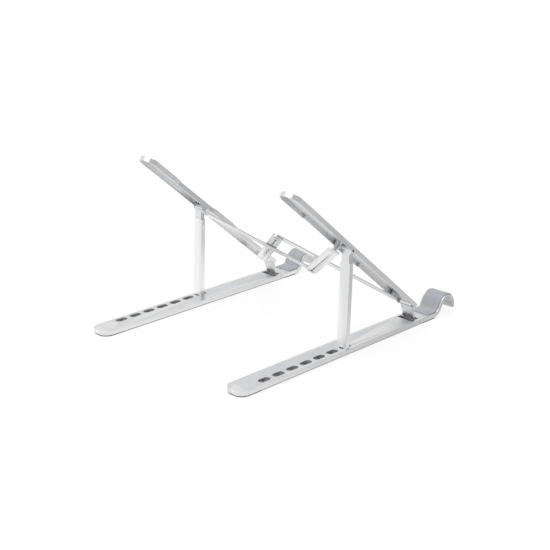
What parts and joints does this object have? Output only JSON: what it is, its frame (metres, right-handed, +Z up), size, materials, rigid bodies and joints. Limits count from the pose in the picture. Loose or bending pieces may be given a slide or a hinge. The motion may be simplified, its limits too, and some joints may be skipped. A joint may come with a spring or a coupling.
{
  "type": "folding laptop stand",
  "caption": "Folding laptop stand: two legs with front hooks, two arms held at an angle by struts in a row of slots, and flat links that fold the stand narrow.",
  "frame": {"origin": "on the ground, at the middle of the stand's box", "axes": "+Z up, +Y to the back (rounded ends of the legs), hooks at the front, +X to the right of a person at the hooks"},
  "size_m": [0.2, 0.265, 0.151],
  "materials": {
    "anodised_aluminium": "fine satin, bead-blasted and silver anodised",
    "polished_steel": "smooth, lightly brushed rivet and pin steel",
    "silicone": "matt bluish-grey silicone",
    "foot_rubber": "matt dark grey rubber"
  },
  "bodies": {
    "left_base": {"left_leg": "anodised_aluminium", "left_hook_liner": "silicone", "left_rear_foot": "foot_rubber", "left_front_foot": "foot_rubber", "left_hinge_pin": "polished_steel"},
    "left_arm": {"left_arm": "anodised_aluminium", "left_upper_pad": "silicone", "left_lower_pad": "silicone", "left_strut_pin": "polished_steel", "left_upper_rivet": "polished_steel", "left_upper_spacer": "polished_steel", "left_lower_rivet": "polished_steel", "left_lower_spacer": "polished_steel"},
    "left_strut": {"left_strut": "anodised_aluminium"},
    "left_down_link": {"left_down_link": "anodised_aluminium"},
    "left_up_link": {"left_up_link": "anodised_aluminium"},
    "right_base": {"right_leg": "anodised_aluminium", "right_hook_liner": "silicone", "right_rear_foot": "foot_rubber", "right_front_foot": "foot_rubber", "right_hinge_pin": "polished_steel"},
    "right_arm": {"right_arm": "anodised_aluminium", "right_upper_pad": "silicone", "right_lower_pad": "silicone", "right_strut_pin": "polished_steel", "right_upper_rivet": "polished_steel", "right_upper_spacer": "polished_steel", "right_lower_rivet": "polished_steel", "right_lower_spacer": "polished_steel"},
    "right_strut": {"right_strut": "anodised_aluminium"},
    "right_down_link": {"right_down_link": "anodised_aluminium", "lower_middle_rivet": "polished_steel", "lower_middle_washer": "polished_steel"},
    "right_up_link": {"right_up_link": "anodised_aluminium", "upper_middle_rivet": "polished_steel", "upper_middle_washer": "polished_steel"}
  },
  "joints": [
    {"name": "arm_lift", "type": "hinge", "parent": "left_base", "child": "left_arm", "pos_m": [-0.089, -0.08329, 0.003], "axis": [1, 0, 0], "range_deg": [0, 50]},
    {"name": "left_strut_fold", "type": "hinge", "parent": "left_arm", "child": "left_strut", "pos_m": [-0.0936, 0.0059, 0.09045], "axis": [1, 0, 0], "range_deg": [0, 125.6]},
    {"name": "width_fold", "type": "hinge", "parent": "left_arm", "child": "left_down_link", "pos_m": [-0.0833, 0.01211, 0.0879], "axis": [0, 0.6578, -0.7532], "range_deg": [0, 42]},
    {"name": "left_up_link_pivot", "type": "hinge", "parent": "left_arm", "child": "left_up_link", "pos_m": [-0.0833, -0.06361, 0.02775], "axis": [0, 0.6578, -0.7532], "range_deg": [-42.5, 0]},
    {"name": "lower_middle_pivot", "type": "hinge", "parent": "left_down_link", "child": "right_down_link", "pos_m": [0, -0.04759, 0.03776], "axis": [0, 0.6578, -0.7532], "range_deg": [-84.5, 0]},
    {"name": "right_down_link_pivot", "type": "hinge", "parent": "right_down_link", "child": "right_arm", "pos_m": [0.0833, 0.01112, 0.08903], "axis": [0, 0.6578, -0.7532], "range_deg": [0, 42.5]},
    {"name": "right_up_link_pivot", "type": "hinge", "parent": "right_arm", "child": "right_up_link", "pos_m": [0.0833, -0.06263, 0.02662], "axis": [0, 0.6578, -0.7532], "range_deg": [0, 42.5]},
    {"name": "right_leg_hinge", "type": "hinge", "parent": "right_arm", "child": "right_base", "pos_m": [0.089, -0.08329, 0.003], "axis": [1, 0, 0], "range_deg": [-50.5, 0]},
    {"name": "right_strut_fold", "type": "hinge", "parent": "right_arm", "child": "right_strut", "pos_m": [0.0936, 0.0059, 0.09045], "axis": [1, 0, 0], "range_deg": [0, 125.6]}
  ],
  "couplings": [
    {"joint": "left_strut_fold", "follows": "arm_lift", "ratio": 2.502},
    {"joint": "right_strut_fold", "follows": "arm_lift", "ratio": 2.502},
    {"joint": "right_leg_hinge", "follows": "arm_lift", "ratio": -1},
    {"joint": "lower_middle_pivot", "follows": "width_fold", "ratio": -2},
    {"joint": "right_down_link_pivot", "follows": "width_fold", "ratio": 1},
    {"joint": "left_up_link_pivot", "follows": "width_fold", "ratio": -1},
    {"joint": "right_up_link_pivot", "follows": "width_fold", "ratio": 1}
  ]
}
